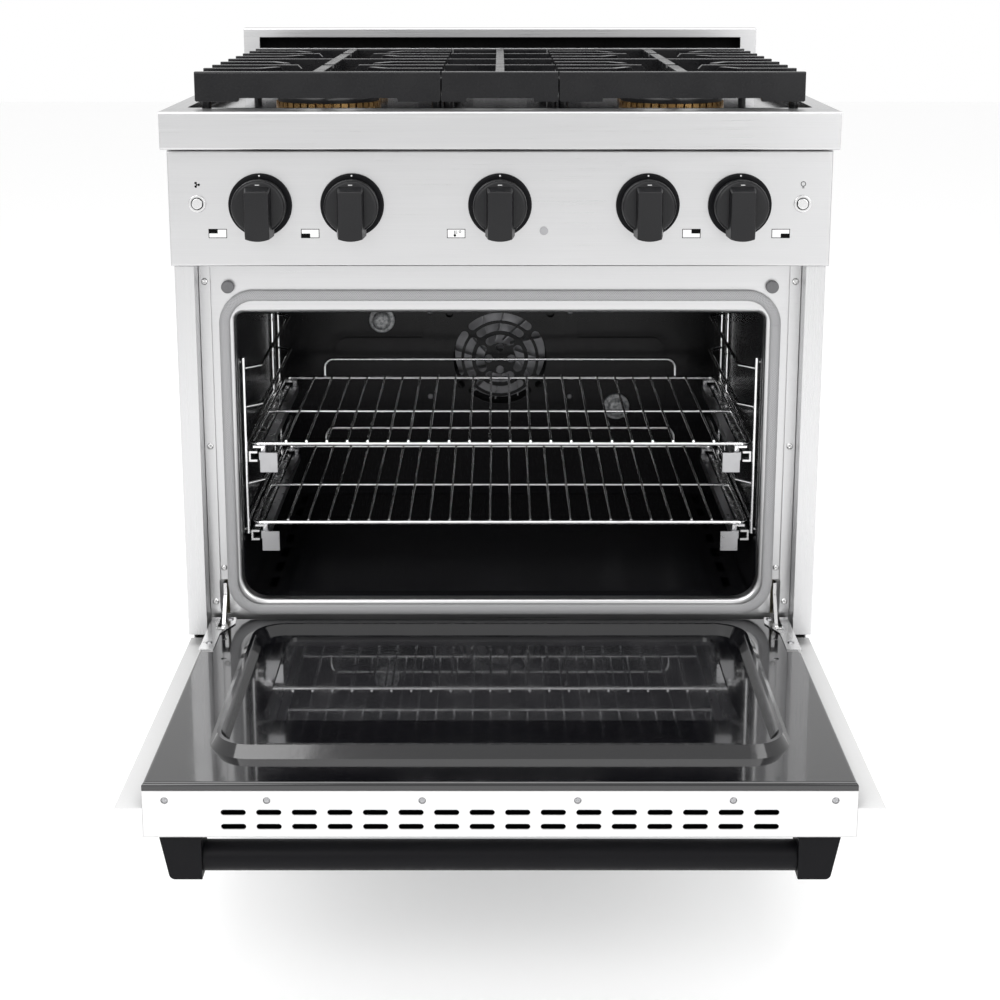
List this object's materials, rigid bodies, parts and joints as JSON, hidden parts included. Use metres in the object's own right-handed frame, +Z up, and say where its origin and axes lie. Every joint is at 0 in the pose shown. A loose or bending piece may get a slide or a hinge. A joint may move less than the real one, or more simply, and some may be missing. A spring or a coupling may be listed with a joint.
{
  "type": "freestanding gas range",
  "caption": "Freestanding gas cooking range with a drop-down oven door, sliding wire racks, lift-off cast iron grates, turning knobs and a low backguard.",
  "frame": {"origin": "bottom centre of the object's box at rest, with the oven door open, on the floor between the feet and the door's front edge", "axes": "+Z up, the front and the open door face -Y, +X to the right of someone standing in front"},
  "size_m": [0.759, 1.092, 0.9805],
  "materials": {
    "stainless": "brushed",
    "galvanised": "satin",
    "bright_steel": "polished",
    "chrome_wire": "polished",
    "black_enamel": "gloss",
    "matte_black_enamel": "matte",
    "matte_black_metal": "matte",
    "white_paint": "matte",
    "cast_iron": "matte",
    "brass": "satin",
    "lamp_glass": "ribbed",
    "oven_glass": "gloss",
    "fibreglass": "knitted",
    "mineral_wool": "matted",
    "porcelain": "satin",
    "knob_black": "satin",
    "silicone": "matte"
  },
  "bodies": {
    "chassis": {"backguard": "stainless", "bake_burner": "bright_steel", "base_frame": "galvanised", "broil_burner": "bright_steel", "burner_caps": "matte_black_enamel", "burner_heads": "brass", "control_bezels": "knob_black", "control_panel": "stainless", "cooktop": "stainless", "door_bumpers": "silicone", "door_gasket": "fibreglass", "fan_cover": "black_enamel", "fan_motor": "galvanised", "frame_screws": "bright_steel", "front_frame": "stainless", "front_trim": "stainless", "gas_manifold": "galvanised", "glide_channels": "bright_steel", "hinge_arms": "bright_steel", "igniters": "porcelain", "insulation": "mineral_wool", "kick_panel": "stainless", "oven_cavity": "black_enamel", "oven_floor": "black_enamel", "oven_lamps": "lamp_glass", "rear_panel": "galvanised", "side_panel_left": "stainless", "side_panel_right": "stainless", "side_racks": "chrome_wire"},
    "door": {"door_skin": "white_paint", "door_top_band": "white_paint", "door_screws": "bright_steel", "door_liner": "black_enamel", "inner_glass": "oven_glass", "outer_glass": "oven_glass", "hinge_plates": "bright_steel", "handle_bar": "matte_black_metal", "handle_brackets": "matte_black_metal"},
    "stem_outer_left": {"stem_outer_left": "brass"},
    "knob_outer_left": {"knob_outer_left": "knob_black"},
    "stem_inner_left": {"stem_inner_left": "brass"},
    "knob_inner_left": {"knob_inner_left": "knob_black"},
    "stem_oven": {"stem_oven": "brass"},
    "knob_oven": {"knob_oven": "knob_black"},
    "stem_inner_right": {"stem_inner_right": "brass"},
    "knob_inner_right": {"knob_inner_right": "knob_black"},
    "stem_outer_right": {"stem_outer_right": "brass"},
    "knob_outer_right": {"knob_outer_right": "knob_black"},
    "rack_upper": {"rack_upper": "chrome_wire"},
    "rack_lower": {"rack_lower": "chrome_wire"},
    "grate_left": {"grate_left": "cast_iron"},
    "grate_centre": {"grate_centre": "cast_iron"},
    "grate_right": {"grate_right": "cast_iron"},
    "fan_button": {"fan_button": "bright_steel"},
    "light_button": {"light_button": "bright_steel"},
    "convection_fan": {"convection_fan": "bright_steel"},
    "leg_front_left": {"leg_front_left": "stainless"},
    "leg_front_right": {"leg_front_right": "stainless"},
    "leg_rear_left": {"leg_rear_left": "stainless"},
    "leg_rear_right": {"leg_rear_right": "stainless"}
  },
  "joints": [
    {"name": "door_hinge", "type": "hinge", "parent": "chassis", "child": "door", "pos_m": [0, -0.0995, 0.2855], "axis": [-1, 0, 0], "range_deg": [0, 90]},
    {"name": "rack_upper_slide", "type": "slide", "parent": "chassis", "child": "rack_upper", "axis": [0, 1, 0], "range_m": [-0.3, 0]},
    {"name": "rack_lower_slide", "type": "slide", "parent": "chassis", "child": "rack_lower", "axis": [0, 1, 0], "range_m": [-0.3, 0]},
    {"name": "grate_left_lift", "type": "slide", "parent": "chassis", "child": "grate_left", "axis": [0, 0, 1], "range_m": [0, 0.06]},
    {"name": "grate_centre_lift", "type": "slide", "parent": "chassis", "child": "grate_centre", "axis": [0, 0, 1], "range_m": [0, 0.06]},
    {"name": "grate_right_lift", "type": "slide", "parent": "chassis", "child": "grate_right", "axis": [0, 0, 1], "range_m": [0, 0.06]},
    {"name": "stem_outer_left_turn", "type": "hinge", "parent": "chassis", "child": "stem_outer_left", "pos_m": [-0.2725, -0.127, 0.8065], "axis": [0, -1, 0], "range_deg": [0, 270]},
    {"name": "knob_outer_left_push", "type": "slide", "parent": "stem_outer_left", "child": "knob_outer_left", "axis": [0, 1, 0], "range_m": [0, 0.003], "stiffness_N_per_m": 600, "springref_m": -0.002},
    {"name": "stem_inner_left_turn", "type": "hinge", "parent": "chassis", "child": "stem_inner_left", "pos_m": [-0.168, -0.127, 0.8065], "axis": [0, -1, 0], "range_deg": [0, 270]},
    {"name": "knob_inner_left_push", "type": "slide", "parent": "stem_inner_left", "child": "knob_inner_left", "axis": [0, 1, 0], "range_m": [0, 0.003], "stiffness_N_per_m": 600, "springref_m": -0.002},
    {"name": "stem_oven_turn", "type": "hinge", "parent": "chassis", "child": "stem_oven", "pos_m": [0, -0.127, 0.8065], "axis": [0, 1, 0], "range_deg": [0, 270]},
    {"name": "knob_oven_push", "type": "slide", "parent": "stem_oven", "child": "knob_oven", "axis": [0, 1, 0], "range_m": [0, 0.003], "stiffness_N_per_m": 600, "springref_m": -0.002},
    {"name": "stem_inner_right_turn", "type": "hinge", "parent": "chassis", "child": "stem_inner_right", "pos_m": [0.168, -0.127, 0.8065], "axis": [0, -1, 0], "range_deg": [0, 270]},
    {"name": "knob_inner_right_push", "type": "slide", "parent": "stem_inner_right", "child": "knob_inner_right", "axis": [0, 1, 0], "range_m": [0, 0.003], "stiffness_N_per_m": 600, "springref_m": -0.002},
    {"name": "stem_outer_right_turn", "type": "hinge", "parent": "chassis", "child": "stem_outer_right", "pos_m": [0.2725, -0.127, 0.8065], "axis": [0, -1, 0], "range_deg": [0, 270]},
    {"name": "knob_outer_right_push", "type": "slide", "parent": "stem_outer_right", "child": "knob_outer_right", "axis": [0, 1, 0], "range_m": [0, 0.003], "stiffness_N_per_m": 600, "springref_m": -0.002},
    {"name": "fan_button_press", "type": "slide", "parent": "chassis", "child": "fan_button", "axis": [0, 1, 0], "range_m": [0, 0.0025], "stiffness_N_per_m": 500, "springref_m": -0.002},
    {"name": "light_button_press", "type": "slide", "parent": "chassis", "child": "light_button", "axis": [0, 1, 0], "range_m": [0, 0.0025], "stiffness_N_per_m": 500, "springref_m": -0.002},
    {"name": "convection_fan_spin", "type": "hinge", "parent": "chassis", "child": "convection_fan", "pos_m": [0, 0.436, 0.513], "axis": [0, 1, 0], "continuous": true},
    {"name": "leg_front_left_level", "type": "slide", "parent": "chassis", "child": "leg_front_left", "axis": [0, 0, -1], "range_m": [0, 0.025]},
    {"name": "leg_front_right_level", "type": "slide", "parent": "chassis", "child": "leg_front_right", "axis": [0, 0, -1], "range_m": [0, 0.025]},
    {"name": "leg_rear_left_level", "type": "slide", "parent": "chassis", "child": "leg_rear_left", "axis": [0, 0, -1], "range_m": [0, 0.025]},
    {"name": "leg_rear_right_level", "type": "slide", "parent": "chassis", "child": "leg_rear_right", "axis": [0, 0, -1], "range_m": [0, 0.025]}
  ]
}
